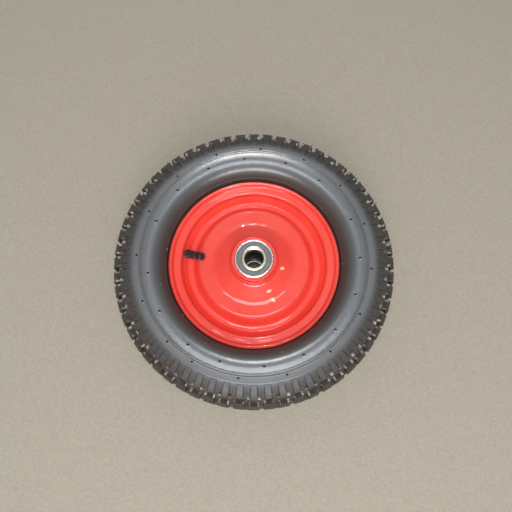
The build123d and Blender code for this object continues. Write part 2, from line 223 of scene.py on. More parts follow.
# %% Stud and vent finishes
def stud_finish():
    """The small studs have worn tops, full of pale dust, though many have lost it again."""
    finish, tree, shader = new_finish("stud rubber", roughness=0.8)
    place = place_of(tree)
    cloud = noise(tree, place, 300.0, 3.0)
    patch = noise(tree, place, 90.0, 2.0)
    share = maths(tree, "MULTIPLY", ramp(tree, cloud, 0.25, 0.6, 0.6, 1.0),
                  ramp(tree, patch, 0.42, 0.60, 0.06, 1.0))
    colour = mixed(tree, share, (0.045, 0.038, 0.030, 1), (0.52, 0.47, 0.42, 1))
    feed(tree, shader, base_color=colour, normal=bump(tree, cloud, 0.0003, 0.5))
    return finish


def vent_finish():
    """The middle of a vent mark is dark."""
    finish, tree, shader = new_finish("vent rubber", roughness=0.7, specular_ior_level=0.1)
    cloud = noise(tree, place_of(tree), 900.0, 2.0)
    colour = mixed(tree, cloud, (0.004, 0.004, 0.004, 1), (0.012, 0.011, 0.010, 1))
    feed(tree, shader, base_color=colour)
    return finish


stud_rubber = stud_finish()
vent_rubber = vent_finish()
print("more rubber:", stud_rubber.name, vent_rubber.name)

# %% [markdown]
# Round pieces are turned: a section drawn in the radial plane is swept about the axis. Blender has a
# Screw modifier for that, but building the rings of points directly keeps control of how many there
# are, and lets a section be a closed loop with true thickness. Corners are rounded with short arcs,
# since no real edge is perfectly sharp and the arc is what catches the light.

# %% Helpers for sections
def on_circle(centre, radius, angle):
    """The point of a circle in the radial plane at an angle in degrees."""
    return (centre[0] + radius * cos(radians(angle)), centre[1] + radius * sin(radians(angle)))


def arc(centre, radius, start, end, steps):
    """Points on an arc in the radial plane, angles in degrees."""
    return [on_circle(centre, radius, start + (end - start) * i / steps) for i in range(steps + 1)]


def rounded(corners, radii, steps=4, closed=True):
    """The corners of a section with each one rounded to its own radius."""
    points = []
    count = len(corners)
    for i, corner in enumerate(corners):
        here = Vector(corner)
        if not closed and i in (0, count - 1):
            points.append(corner)
            continue
        before = (Vector(corners[i - 1]) - here).normalized()
        after = (Vector(corners[(i + 1) % count]) - here).normalized()
        half = before.angle(after) / 2
        radius = radii[i] if isinstance(radii, (list, tuple)) else radii
        if radius <= 0 or abs(half - pi / 2) < 0.001:
            points.append(corner)
            continue
        run = radius / tan(half)
        middle = here + (before + after).normalized() * radius / sin(half)
        first = here + before * run - middle
        last = here + after * run - middle
        points += [tuple(middle + first.slerp(last, step / steps) * radius) for step in range(steps + 1)]
    return points


print("a rounded square's points:", len(rounded([(0, 0), (1, 0), (1, 1), (0, 1)], 0.1)))

# %% [markdown]
# From a section come the rings of points and the faces between them. One helper makes every closed
# piece, turns its faces outwards and shades it smooth, so that no piece can miss a step.

# %% Helpers for pieces
def smooth_by_angle(mesh, limit=35.0):
    """Shade a mesh smoothly, but keep the edges that turn more than the limit."""
    mesh.shade_smooth()
    mesh.set_sharp_from_angle(angle=radians(limit))


def new_piece(name, vertices, faces, finish, limit=35.0):
    """A closed piece from its points and faces, which are turned outwards and shaded smoothly."""
    mesh = bpy.data.meshes.new(name)
    mesh.from_pydata(vertices, [], faces)
    mesh.validate()
    work = bmesh.new()
    work.from_mesh(mesh)
    bmesh.ops.recalc_face_normals(work, faces=work.faces)
    work.to_mesh(mesh)
    work.free()
    piece = bpy.data.objects.new(name, mesh)
    bpy.context.collection.objects.link(piece)
    mesh.materials.append(finish)
    smooth_by_angle(mesh, limit)
    return piece


def turned_mesh(section, turns, wave=None):
    """Rings of points for a closed section, with a wave that may move a point a little."""
    vertices = []
    for i in range(turns):
        angle = 2 * pi * i / turns
        for r, z in section:
            if wave:
                r, z = wave(r, z, angle)
            vertices.append((r * cos(angle), r * sin(angle), z))
    size = len(section)
    faces = []
    for i in range(turns):
        j = (i + 1) % turns
        for k in range(size):
            m = (k + 1) % size
            faces.append((i * size + k, j * size + k, j * size + m, i * size + m))
    return vertices, faces


def turned_piece(name, section, finish, turns=192, limit=35.0, wave=None):
    """A turned piece about the wheel's axis."""
    return new_piece(name, *turned_mesh(section, turns, wave), finish, limit)


def combine(piece, other, operation, solver):
    """Add another piece to this one or cut it away, and keep only the result."""
    step = piece.modifiers.new("combine", "BOOLEAN")
    step.operation = operation
    step.solver = solver
    step.object = other
    shaped = bpy.data.meshes.new_from_object(piece.evaluated_get(bpy.context.evaluated_depsgraph_get()))
    piece.modifiers.clear()
    piece.data = shaped
    bpy.data.objects.remove(other)


def dress(piece, body, slot, *nodes):
    """Let a piece ride on its body and stand for the model's own nodes. The slot is not used."""
    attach(piece, body)
    if nodes:
        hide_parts(*nodes)
    print(piece.name, "faces:", len(piece.data.polygons))


# %% [markdown]
# The tyre's section is nearly a circle. From the tread it runs over the sidewall's widest point, with
# a double groove beside it, down to the thin line moulded next to the rim, round the bead that sits
# on the rim, and back through the hollow inside. Half of it is drawn and then mirrored.

# %% Tyre section
tyre_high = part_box("tyre")[1]
half_width = tyre_high.z
tyre_radius = tyre_high.x
section_centre = 0.142
rubber_reach = tyre_radius - section_centre
crown_depth = 6.4 * millimetre
shoulder_depth = 4.6 * millimetre
crown_floor_angle = 20.0
bar_outer_angle = 45.0
bar_inner_angle = 70.0
groove_radius = 0.150
groove_spacing = 3.0 * millimetre
groove_width = 1.6 * millimetre
groove_depth = 0.9 * millimetre
lower_side_radius = 23.0 * millimetre
rim_line_angle = 172.0
rim_line_rise = 0.7 * millimetre
rim_line_spread = 1.4         # degrees
bead_points = [(0.1183, 0.0226), (0.1163, 0.0214), (0.1106, 0.0182), (0.10465, 0.0182),
               (0.10165, 0.0152), (0.10165, 0.0091), (0.10365, 0.0079), (0.11085, 0.0111),
               (0.1236, 0.0234)]
cavity_centre = 0.1368
cavity_reach = 0.0478
cavity_side_radius = 12.0 * millimetre


def on_section(angle, inset=0.0):
    """A point on the tyre's outer section, at an angle from the crown."""
    return (section_centre + (rubber_reach - inset) * cos(radians(angle)),
            (half_width - inset) * sin(radians(angle)))


def floor_inset(angle):
    """How far the tread's floor lies below the outer section."""
    if angle <= crown_floor_angle:
        return crown_depth
    if angle <= bar_outer_angle:
        share = (angle - crown_floor_angle) / (bar_outer_angle - crown_floor_angle)
        return crown_depth + (shoulder_depth - crown_depth) * share
    share = min(1.0, (angle - bar_outer_angle) / (bar_inner_angle - bar_outer_angle))
    return shoulder_depth * (1 - share ** 1.5)


def groove_inset(radius):
    """Depth of the double groove at a radius of the sidewall."""
    depth = 0.0
    for middle in (groove_radius - groove_spacing / 2, groove_radius + groove_spacing / 2):
        away = abs(radius - middle) / (groove_width / 2)
        depth = max(depth, groove_depth * max(0.0, 1 - away ** 2))
    return depth


def half_tyre_section():
    """Upper half of the tyre's section, from the tread's middle to the middle of the hollow."""
    points = [on_section(a, floor_inset(a)) for a in range(0, int(bar_inner_angle) + 1, 2)]
    side_angles = [bar_inner_angle + 1.0 + 0.45 * i for i in range(43)]
    for angle in side_angles:
        radius = on_section(angle)[0]
        points.append(on_section(angle, groove_inset(radius)))
    lower_centre = (section_centre, half_width - lower_side_radius)
    for angle in [93.0 + 3.0 * i for i in range(25)] + [167, 168.5, 169.5, 170.5, 171.3, 172, 172.7, 173.5,
                                                         174.5, 176, 178, 180]:
        away = (angle - rim_line_angle) / rim_line_spread
        rise = rim_line_rise * max(0.0, 1 - away ** 2)
        points.append(on_circle(lower_centre, lower_side_radius + rise, angle))
    points += rounded([points[-1]] + bead_points + [(cavity_centre - cavity_side_radius, 0.0358)],
                      0.9 * millimetre, 3, closed=False)[1:-1]
    side_centre = (cavity_centre, cavity_reach - cavity_side_radius)
    points += arc(side_centre, cavity_side_radius, 180, 90, 5)[:-1]
    points += arc((cavity_centre, 0), cavity_reach, 90, 0, 12)
    return points


upper_half = half_tyre_section()
lower_half = [(r, -z) for r, z in reversed(upper_half[1:-1])]
tyre_section = upper_half + lower_half
print("points in the tyre's section:", len(tyre_section))

# %% [markdown]
# Every lug of the tread is a small closed shell rooted in the casing: straight sloping walls, a narrow
# bevel, and a top that follows the tyre's curve. A displacement map could suggest them, but the blocks
# make the wheel's outline, so they have to be real. Sixty pitches go round. Shoulder bars stand on
# every pitch, and the centre blocks take turns reaching nearer to and further from the bars. The lower
# side's tread is set half a pitch on.

# %% Tread lugs
pitch_count = 60
pitch = 360 / pitch_count
bar_turn = 1.38               # half the width of a bar, in degrees round the wheel
block_turn = 2.14
bar_run_out = 2.0             # degrees that a bar ends before the tread's floor does
tread_radius = 0.19
lug_bevel = 0.5 * millimetre
lug_root = 2.6 * millimetre
wall_slope_turn = 0.22        # how much wider a lug is at its root, in degrees


def on_tyre(turn_angle, angle, inset, side):
    """A point on the tyre, given by its angle round the wheel and round the section."""
    r, z = on_section(angle, inset)
    return (r * cos(radians(turn_angle)), r * sin(radians(turn_angle)), side * z)


def lug_shell(middle, half_turn, start, end, side, rows=7):
    """Points and faces of one lug between two section angles."""
    bevel_turn = degrees(lug_bevel / tread_radius)
    bevel_angle = degrees(lug_bevel / rubber_reach)
    slope_angle = 1.2
    levels = [(lug_root, wall_slope_turn, slope_angle, True),
              (lug_bevel, 0.0, 0.0, False),
              (0.0, -bevel_turn, -bevel_angle, False)]
    vertices = []
    for inset, wider, longer, at_floor in levels:
        low = start - longer
        high = end + longer
        for direction in (-1, 1):
            for row in range(rows + 1):
                angle = low + (high - low) * row / rows
                if direction > 0:
                    angle = low + (high - low) * (rows - row) / rows
                level = inset
                if at_floor:
                    level += floor_inset(max(0.0, min(angle, bar_inner_angle)))
                turn_angle = middle + direction * (half_turn + wider)
                vertices.append(on_tyre(turn_angle, angle, level, side))
    ring = 2 * (rows + 1)
    faces = []
    for level in range(2):
        for i in range(ring):
            j = (i + 1) % ring
            here, above = level * ring, (level + 1) * ring
            faces.append((here + i, here + j, above + j, above + i))
    for cap in (0, 2):
        for row in range(rows):
            left, right = cap * ring + row, cap * ring + ring - 1 - row
            quad = (left, left + 1, right - 1, right)
            faces.append(quad if cap == 2 else tuple(reversed(quad)))
    return vertices, faces


class Heap:
    """Many small closed shells gathered into one mesh, each with its finish's number."""

    def __init__(self):
        self.vertices = []
        self.faces = []
        self.finishes = []

    def add(self, shell, finish_number):
        vertices, faces = shell
        base = len(self.vertices)
        self.vertices += vertices
        self.faces += [tuple(base + i for i in face) for face in faces]
        self.finishes += [finish_number] * len(faces)


on_casing, on_lug, on_stud, on_vent = range(4)       # the numbers of the tyre's finishes
tread = Heap()
near_block = (1.5, 24.0)
far_block = (9.0, 33.0)
lower_side_turn = pitch / 2


def pitches():
    """Each pitch of both sides: its middle, the side, and whether its block reaches near the middle."""
    for number in range(pitch_count):
        yield number * pitch, 1, number % 2 == 1
        yield number * pitch + lower_side_turn, -1, number % 2 == 0


for middle, side, near in pitches():
    bar_end = bar_inner_angle - bar_run_out
    tread.add(lug_shell(middle, bar_turn, bar_outer_angle, bar_end, side), on_lug)
    start, end = near_block if near else far_block
    tread.add(lug_shell(middle, block_turn, start, end, side), on_lug)
print("lugs:", 4 * pitch_count, "faces:", len(tread.faces))

# %% [markdown]
# Between the lugs stand small square studs: two beside the outer end of every second bar, and a row
# of four along the outer edge of each block, the middle two smaller. Dust has worn into the larger
# ones, so they show as pale dots round the tread.

# %% Studs
def stud_shell(middle, angle, size, top, root, side):
    """One square stud, a little narrower at its top."""
    vertices = []
    for inset, grow in ((root, 1.15), (top + 0.25 * millimetre, 1.0), (top, 0.82)):
        reach = size * grow / 2
        turn_reach = degrees(reach / on_section(angle)[0])
        angle_reach = degrees(reach / rubber_reach)
        for across, along in ((-1, -1), (1, -1), (1, 1), (-1, 1)):
            vertices.append(on_tyre(middle + across * turn_reach, angle + along * angle_reach, inset, side))
    faces = [(3, 2, 1, 0), (8, 9, 10, 11)]
    for level in (0, 4):
        for i in range(4):
            j = (i + 1) % 4
            faces.append((level + i, level + j, level + 4 + j, level + 4 + i))
    return vertices, faces


pocket_stud = (2.15, 44.0, 3.8 * millimetre)      # degrees beside the bar, section angle, width
corner_stud = (1.75, 2.4, 2.6 * millimetre)       # degrees beside the block's middle, past its end
edge_stud = (0.62, 3.8, 1.8 * millimetre)
pocket_stud_top = 1.6 * millimetre                # how far the tops lie below the tyre's outer section
edge_stud_top = 1.2 * millimetre
for middle, side, near in pitches():
    block_end = near_block[1] if near else far_block[1]
    for across in (-1, 1):
        if near:
            turn_away, angle, size = pocket_stud
            root = floor_inset(angle) + millimetre
            shell = stud_shell(middle + across * turn_away, angle, size, pocket_stud_top, root, side)
            tread.add(shell, on_stud)
        for (turn_away, past, size), finish_number in ((corner_stud, on_stud), (edge_stud, on_lug)):
            angle = block_end + past
            root = floor_inset(angle) + millimetre
            shell = stud_shell(middle + across * turn_away, angle, size, edge_stud_top, root, side)
            tread.add(shell, finish_number)
print("faces with studs:", len(tread.faces))

# %% [markdown]
# A mould lets its air out through fine holes, and the rubber that follows the air leaves marks: little
# rings with a dark middle on the sidewall, nubs beside the rim, and hairs on the tread. They could be
# painted on with a texture, but each is a small turned shell here, so that they catch the light. One
# helper turns a shell about any direction, another finds a place on the sidewall.

# %% Helpers for small marks
def frame_at(place, outwards):
    """Two directions across and one along an outward direction, as columns."""
    along = Vector(outwards).normalized()
    across = along.cross(Vector((0.3, 0.5, 0.8))).normalized()
    return Matrix((across, along.cross(across), along)).transposed(), Vector(place)


def small_turning(place, outwards, profile, turns):
    """A closed shell turned about an outward direction; the profile starts and ends on its axis."""
    directions, origin = frame_at(place, outwards)
    vertices = [tuple(origin + directions @ Vector((0, 0, profile[0][1])))]
    for r, t in profile[1:-1]:
        for i in range(turns):
            a = 2 * pi * i / turns
            vertices.append(tuple(origin + directions @ Vector((r * cos(a), r * sin(a), t))))
    vertices.append(tuple(origin + directions @ Vector((0, 0, profile[-1][1]))))
    faces = []
    rows = len(profile) - 2
    for i in range(turns):
        j = (i + 1) % turns
        faces.append((0, 1 + j, 1 + i))
        for row in range(rows - 1):
            low, high = 1 + row * turns, 1 + (row + 1) * turns
            faces.append((low + i, low + j, high + j, high + i))
        faces.append((1 + (rows - 1) * turns + i, 1 + (rows - 1) * turns + j, len(vertices) - 1))
    return vertices, faces


def outward_at(radius, azimuth, side=1):
    """Point and outward direction on the sidewall at a radius and an azimuth in degrees."""
    if radius >= section_centre:
        a = degrees(atan2(sqrt(1 - ((radius - section_centre) / rubber_reach) ** 2),
                          (radius - section_centre) / rubber_reach))
        r, z = on_section(a)
        slope = (cos(radians(a)), sin(radians(a)))
    else:
        rise = sqrt(lower_side_radius ** 2 - (section_centre - radius) ** 2)
        r, z = radius, half_width - lower_side_radius + rise
        slope = ((radius - section_centre) / lower_side_radius, rise / lower_side_radius)
    turn_by = radians(azimuth)
    return ((r * cos(turn_by), r * sin(turn_by), side * z),
            (slope[0] * cos(turn_by), slope[0] * sin(turn_by), side * slope[1]))


print("sidewall's highest point in mm:", round(outward_at(section_centre, 0)[0][2] / millimetre, 2))

# %% [markdown]
# The marks stand where the photograph shows them: two circles of vents, one on the crest and one on the
# dusty band, and two circles of nubs nearer to the rim. Hairs are scattered by chance, so the random
# numbers get a fixed seed, and every run of the notebook grows the same hairs.

# %% Vent marks and hairs
ring_profile = [(0, -0.0010), (0.0024, -0.0010), (0.0024, 0.00008), (0.0021, 0.00030), (0.0017, 0.00015),
                (0, 0.00015)]
pit_profile = [(0, -0.0008), (0.00155, -0.0008), (0.00155, 0.00024), (0, 0.00024)]
crest_vents = [95.5, 116.5, 138.0, 159.0, 188.4, 210.0, 233.4, 252.1, 275.2, 296.6, 318.0, 339.7, 0.0, 22.0,
               50.5, 72.0]
band_vents = [239.6 + 23.0 * i for i in range(16)]
upper_nubs = (240.9, 286.5, 334.0, 20.0, 64.0, 108.0, 152.0, 196.0)
lower_nubs = (264.1, 308.9, 358.0, 38.5, 84.0, 127.0, 172.0, 218.0)
nub_profile = [(0, -0.001), (0.0007, -0.001), (0.0007, 0.0006), (0.0004, 0.0009), (0, 0.0009)]
hair_share = 0.45             # of the pitches
marks = Heap()
random.seed(4)
for side in (1, -1):
    for radius, angles in ((0.1395, crest_vents), (0.1545, band_vents)):
        for azimuth in angles:
            place, way = outward_at(radius, azimuth, side)
            marks.add(small_turning(place, way, ring_profile, 14), on_casing)
            marks.add(small_turning(place, way, pit_profile, 10), on_vent)
    for radius, angles in ((0.1265, upper_nubs), (0.1193, lower_nubs)):
        for azimuth in angles:
            marks.add(small_turning(*outward_at(radius, azimuth, side), nub_profile, 8), on_stud)
    for number in range(pitch_count):
        if random.random() < hair_share:
            angle = random.uniform(26.0, 42.0)
            turn_angle = number * pitch + random.uniform(-2.6, 2.6)
            length = random.uniform(0.0015, 0.0032)
            way = (cos(radians(angle)) * cos(radians(turn_angle)),
                   cos(radians(angle)) * sin(radians(turn_angle)), side * sin(radians(angle)))
            hair = [(0, -0.007), (0.0005, -0.007), (0.00035, length), (0, length + 0.0002)]
            marks.add(small_turning(on_tyre(turn_angle, angle, 0.0, side), way, hair, 6), on_casing)
print("faces of vents and hairs:", len(marks.faces))

# %% [markdown]
# A real tyre is one moulding, so the casing and its lugs become one mesh. Lying inside each other they
# would look the same, but a union leaves one clean skin, which also serves as a printable shape. The
# fast manifold solver suits closed shells like these. The fine marks stay a piece of their own: they
# only touch the skin, and hundreds of such near misses are what a union handles worst.

# %% Tyre
tyre_turns = 220
tyre_finishes = (casing_rubber, lug_rubber, stud_rubber, vent_rubber)


def heap_piece(name, heap):
    """A piece from a heap of shells, each with its own finish."""
    piece = new_piece(name, heap.vertices, heap.faces, casing_rubber, 40.0)
    for finish in tyre_finishes[1:]:
        piece.data.materials.append(finish)
    piece.data.polygons.foreach_set("material_index", heap.finishes)
    return piece


tyre = turned_piece("tyre_rubber", tyre_section, casing_rubber, tyre_turns)
for finish in tyre_finishes[1:]:
    tyre.data.materials.append(finish)
combine(tyre, heap_piece("tread_lugs", tread), "UNION", "MANIFOLD")
smooth_by_angle(tyre.data, 32.0)
dress(tyre, "wheel", "tyre_rubber", "tyre")
dress(heap_piece("vent_marks", marks), "wheel", "tyre_rubber")

# %% [markdown]
# The rim is two pressed halves of sheet steel under thick gloss paint. The photograph shows how red
# the paint is in the well, where it lies in its own shade, and how pale where a lamp lies on it. The
# network keeps one colour with faint cloudiness, a clear coat for the mirror-like gloss, and a few
# chips down to a cream primer at the places where the real one has them.

# %% Paint finish
# Each chip has its place in metres, how much longer than wide it is, and its slant in degrees.
paint_chips = ((0.0385, -0.0090, 0.0270, 2.2, -10), (0.0203, -0.0399, 0.0243, 1.9, -20),
               (0.0262, -0.0515, 0.0197, 1.8, 45))


def paint_finish():
    """Red gloss paint with its chips."""
    finish, tree, shader = new_finish("red gloss paint", coat_weight=0.62, coat_roughness=0.04,
                                      specular_ior_level=0.15)
    place = place_of(tree)
    cloud = noise(tree, place, 14.0, 3.0)
    fine = noise(tree, place, 190.0, 3.0)
    red = mixed(tree, ramp(tree, cloud, 0.3, 0.7), (0.92, 0.060, 0.040, 1), (0.96, 0.088, 0.060, 1))
    chipped = 0.0
    for x, y, z, stretch, slant in paint_chips:
        offset = add_node(tree, "VectorMath", {0: place, 1: (x, y, z)}, operation="SUBTRACT").outputs[0]
        turned_about = add_node(tree, "VectorRotate", {"Vector": offset, "Angle": radians(slant)},
                                rotation_type="Z_AXIS").outputs[0]
        squeezed = add_node(tree, "VectorMath", {0: turned_about, 1: (1 / stretch, 1, 1)},
                            operation="MULTIPLY").outputs[0]
        length = add_node(tree, "VectorMath", {0: squeezed}, operation="LENGTH").outputs["Value"]
        ragged = maths(tree, "MULTIPLY_ADD", noise(tree, place, 420.0, 4.0, 0.7), 0.0024, length)
        spot = ramp(tree, ragged, 0.0033, 0.0029, 0.0, 1.0)
        chipped = maths(tree, "MAXIMUM", spot, chipped)
    colour = mixed(tree, chipped, red, (0.95, 0.66, 0.38, 1))
    relief = maths(tree, "MULTIPLY_ADD", fine, 0.35, noise(tree, place, 55.0, 2.0))
    peel = bump(tree, relief, 0.00016, 0.35)
    feed(tree, shader, base_color=colour, roughness=ramp(tree, fine, 0.2, 0.8, 0.30, 0.42),
         normal=peel, coat_normal=peel)
    return finish


red_paint = paint_finish()
print("paint:", red_paint.name)

# %% [markdown]
# One pressing makes both halves. Its middle line is a chain of straight runs with rounded bends, from
# the rolled edge over the ledge, down the well, up to the shoulder, across the dish and up the neck.
# The sheet is that line with half its thickness on each side. Real pressings are never quite flat, so
# a slow ripple of a tenth of a millimetre goes over it: it is too small to see, but it bends the
# reflections in the gloss just as the photograph shows.

# %% Rim halves
rim_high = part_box("rim_upper_half")[1]
sheet = 1.8 * millimetre
rim_radius = rim_high.x
neck_top = rim_high.z - sheet / 2
edge_height = 26.5 * millimetre
rim_path = [(rim_radius - sheet / 2, edge_height - 3.9 * millimetre),
            (rim_radius - sheet / 2, edge_height - sheet / 2),
            (0.1133, edge_height - sheet / 2), (0.1106, 0.0194), (0.1007, 0.0194), (0.1007, 0.0110),
            (0.0930, 0.0009), (0.0840, 0.0009), (0.0760, 0.0195), (0.0550, 0.0183), (0.03095, 0.0301),
            (0.03095, neck_top)]
rim_bends = [0, 0.0017, 0.0022, 0.0024, 0.0026, 0.0050, 0.0045, 0.0045, 0.0050, 0.0220, 0.0060, 0]
ripple_height = 0.11 * millimetre


def sheet_section(path, bends, thickness):
    """A closed section round a rounded path, with round ends."""
    line = [Vector(p) for p in rounded(path, bends, 8, closed=False)]
    dense = [line[0]]
    for point in line[1:]:
        gap = (point - dense[-1]).length
        steps = int(gap / 0.003)
        for step in range(1, steps + 1):
            dense.append(dense[-1].lerp(point, 1 / (steps + 2 - step)))
        dense.append(point)
    normals = []
    for i in range(len(dense)):
        along = dense[min(i + 1, len(dense) - 1)] - dense[max(i - 1, 0)]
        normals.append(Vector((-along.y, along.x)).normalized())
    left = [p + n * thickness / 2 for p, n in zip(dense, normals)]
    right = [p - n * thickness / 2 for p, n in zip(dense, normals)]
    outline = left + round_end(dense[-1], normals[-1], thickness) + right[::-1]
    outline += round_end(dense[0], -normals[0], thickness)
    return [tuple(p) for p in outline]


def round_end(end, normal, thickness):
    """Points of a half circle that closes the end of a sheet."""
    along = Vector((normal.y, -normal.x))
    return [end + (normal * cos(a) + along * sin(a)) * thickness / 2 for a in (pi / 4, pi / 2, 3 * pi / 4)]


def pressing_ripple(r, z, angle):
    """The slow unevenness of a pressed and painted sheet."""
    inner = max(0.0, min(1.0, (r - 0.036) / 0.012)) * max(0.0, min(1.0, (0.118 - r) / 0.006))
    lift = (sin(7 * angle + 40 * r) + 0.7 * sin(11 * angle - 95 * r + 1.3)
            + 0.5 * sin(19 * angle + 160 * r + 0.4))
    return r, z + ripple_height * inner * lift


rim_section = sheet_section(rim_path, rim_bends, sheet)
rim_turns = 300
upper_rim = turned_piece("rim_upper", rim_section, red_paint, rim_turns, 50.0, pressing_ripple)
lower_section = [(r, -z) for r, z in rim_section]
lower_rim = turned_piece("rim_lower", lower_section, red_paint, rim_turns, 50.0)
print("points in the rim's section:", len(rim_section))

# %% [markdown]
# The valve leaves the rim through a hole in the sloping wall of the well and leans back over the dish.
# All its parts share one slanted axis, so a frame of three directions is worked out once: two across
# the axis and one along it. The hole is then cut with a Boolean, a simple and exact way for one hole.

# %% Valve axis and its hole
valve_angle = 170.3           # degrees round the wheel
valve_slant = 12.0            # how far it leans off the way to the axle
valve_azimuth = radians(valve_angle)
valve_heading = radians(valve_angle + 180 - valve_slant)
valve_elevation = radians(45)
foot_radius = 0.096130
valve_foot = Vector((foot_radius * cos(valve_azimuth), foot_radius * sin(valve_azimuth), 0.0065))
valve_along = Vector((cos(valve_elevation) * cos(valve_heading), cos(valve_elevation) * sin(valve_heading),
                      sin(valve_elevation)))
valve_across = Vector((-sin(valve_azimuth), cos(valve_azimuth), 0)).normalized()
valve_across = (valve_across - valve_along * valve_across.dot(valve_along)).normalized()
valve_up = valve_along.cross(valve_across)
valve_place = Matrix((valve_across, valve_up, valve_along)).transposed()


def on_valve(point):
    """From the valve's own frame to the wheel's."""
    return tuple(valve_place @ Vector(point) + valve_foot)


def lathe(section, turns, wave=None):
    """Points and faces of a closed section turned about the valve's axis."""
    vertices, faces = turned_mesh(section, turns, wave)
    return [on_valve(point) for point in vertices], faces


hole_radius = 5.6 * millimetre
hole_reach = 6.5 * millimetre
near_axis = 0.00001           # a section that reaches the axis stops this far from it
hole_section = [(near_axis, -hole_reach), (hole_radius, -hole_reach), (hole_radius, hole_reach),
                (near_axis, hole_reach)]
combine(upper_rim, new_piece("drill", *lathe(hole_section, 48), red_paint), "DIFFERENCE", "EXACT")
smooth_by_angle(upper_rim.data, 50.0)
dress(upper_rim, "wheel", "red_paint", "rim_upper_half")
dress(lower_rim, "wheel", "red_paint", "rim_lower_half")

# %% [markdown]
# The stem is black rubber with a collar where it leaves the rim and two ribs. A turned section gives it.
# One helper makes the finish here and on every plain piece that follows: a colour that is never quite
# even, a shine that changes with it, and a fine grain.

# %% Valve stem
def plain_finish(name, colour, roughness, scale=200.0, depth=0.0001, metallic=0.0, spread=0.3):
    """A finish of one colour with faint clouds, and a fine grain in its surface."""
    finish, tree, shader = new_finish(name, metallic=metallic)
    place = place_of(tree)
    cloud = noise(tree, place, scale, 4.0)
    dark = tuple(c * (1 - spread) for c in colour) + (1,)
    feed(tree, shader, base_color=mixed(tree, ramp(tree, cloud, 0.3, 0.7), dark, tuple(colour) + (1,)),
         roughness=ramp(tree, cloud, 0.3, 0.7, roughness + 0.08, roughness - 0.05),
         normal=bump(tree, noise(tree, place, scale * 5, 2.0), depth, 0.4))
    return finish


stem_rubber = plain_finish("stem rubber", (0.024, 0.024, 0.026), 0.42, 260.0)
cap_plastic = plain_finish("cap plastic", (0.022, 0.022, 0.024), 0.32, 300.0, 0.00005)
stem_radius = 5.3 * millimetre
stem_inside = 3.2 * millimetre
collar_radius = 6.3 * millimetre
rib_radius = 5.7 * millimetre
stem_corners = [(stem_inside, -0.0065), (stem_radius, -0.0065), (stem_radius, 0.0019),
                (collar_radius, 0.0019), (collar_radius, 0.0039), (stem_radius, 0.0039),
                (stem_radius, 0.0065), (rib_radius, 0.0065), (rib_radius, 0.0080), (stem_radius, 0.0080),
                (stem_radius, 0.0105), (rib_radius, 0.0105), (rib_radius, 0.0120), (stem_radius, 0.0120),
                (stem_radius, 0.0250), (stem_inside, 0.0250)]
stem_rounds = [0, 0.0003, 0.0003, 0.0006, 0.0006, 0.0003, 0.00015, 0.00018, 0.00018, 0.00015, 0.00015,
               0.00018, 0.00018, 0.00015, 0.0008, 0]
stem = new_piece("stem_rubber", *lathe(rounded(stem_corners, stem_rounds, 3), 64), stem_rubber, 40.0)
dress(stem, "wheel", "stem_rubber", "valve_stem")

# %% [markdown]
# A plastic cap screws over the stem's end. Its grip is a ring of shallow flutes, made by letting the
# radius dip twelve times round it, and its end is slightly domed with a rounded edge.

# %% Valve cap
cap_radius = 5.1 * millimetre
cap_bore = 3.93 * millimetre
cap_low = 0.0254
cap_top = 0.0376
cap_wall = 1.8 * millimetre
cap_corners = [(cap_bore, cap_low), (cap_radius, cap_low), (cap_radius, cap_top - 0.0002),
               (near_axis, cap_top), (near_axis, cap_top - cap_wall), (cap_bore, cap_top - cap_wall)]
cap_rounds = [0.0002, 0.0003, 0.0010, 0, 0, 0.0004]


def cap_flutes(r, t, angle):
    """Twelve shallow flutes round the cap, which fade out at both ends."""
    if r < cap_radius * 0.93:
        return r, t
    fade = max(0.0, min(1.0, (t - cap_low - 0.0008) / 0.0008, (cap_top - 0.0022 - t) / 0.0012))
    dip = max(0.0, cos(12 * angle)) ** 1.5
    return r * (1 - 0.065 * dip * fade), t


def with_steps(section, gap):
    """The same section with long runs divided, so that the flutes can fade."""
    points = []
    for i, point in enumerate(section):
        following = section[(i + 1) % len(section)]
        pieces = max(1, int(hypot(following[0] - point[0], following[1] - point[1]) / gap))
        for step in range(pieces):
            share = step / pieces
            points.append((point[0] + (following[0] - point[0]) * share,
                           point[1] + (following[1] - point[1]) * share))
    return points


cap_section = with_steps(rounded(cap_corners, cap_rounds, 4), 0.0006)
cap = new_piece("cap_plastic", *lathe(cap_section, 144, cap_flutes), cap_plastic)
dress(cap, "valve_cap", "cap_plastic", "valve_cap")

# %% [markdown]
# The hub is a plain tube between the two necks of the rim, red like the rest. It is bored wider at each
# end for a bearing. It is turned from a section like the rim, with the chamfers that catch the light.

# %% Hub
half_hub = 49.0 * millimetre
hub_outer = 30.0 * millimetre
hub_inner = 23.0 * millimetre
bearing_seat = 26.01 * millimetre
bearing_width = 15.0 * millimetre
seat_chamfer = 0.7 * millimetre
seat_end = half_hub - bearing_width
hub_half = [(hub_outer, 0.0), (hub_outer, half_hub - seat_chamfer), (hub_outer - seat_chamfer, half_hub),
            (bearing_seat + seat_chamfer, half_hub), (bearing_seat, half_hub - seat_chamfer),
            (bearing_seat, seat_end), (hub_inner, seat_end), (hub_inner, 0.0)]
hub_bends = [0, 0.0004, 0.0004, 0.0003, 0.0003, 0, 0.0005, 0]
hub_side = rounded(hub_half, hub_bends, 3, closed=False)
hub_section = hub_side + [(r, -z) for r, z in reversed(hub_side[1:-1])]
hub = turned_piece("hub_paint", hub_section, red_paint, 160, 35.0)
dress(hub, "wheel", "red_paint", "hub_tube")

# %% [markdown]
# A sealed ball bearing sits in each end: a ground steel outer ring, a grey rubber seal with a shallow
# ring in it, and the inner ring that the axle goes through, which old oil has turned browner. Rings
# get their chamfers and the groove that the balls run in. Between the two inner rings lies a spacer
# sleeve, which shows only as a dark band deep in the bore.

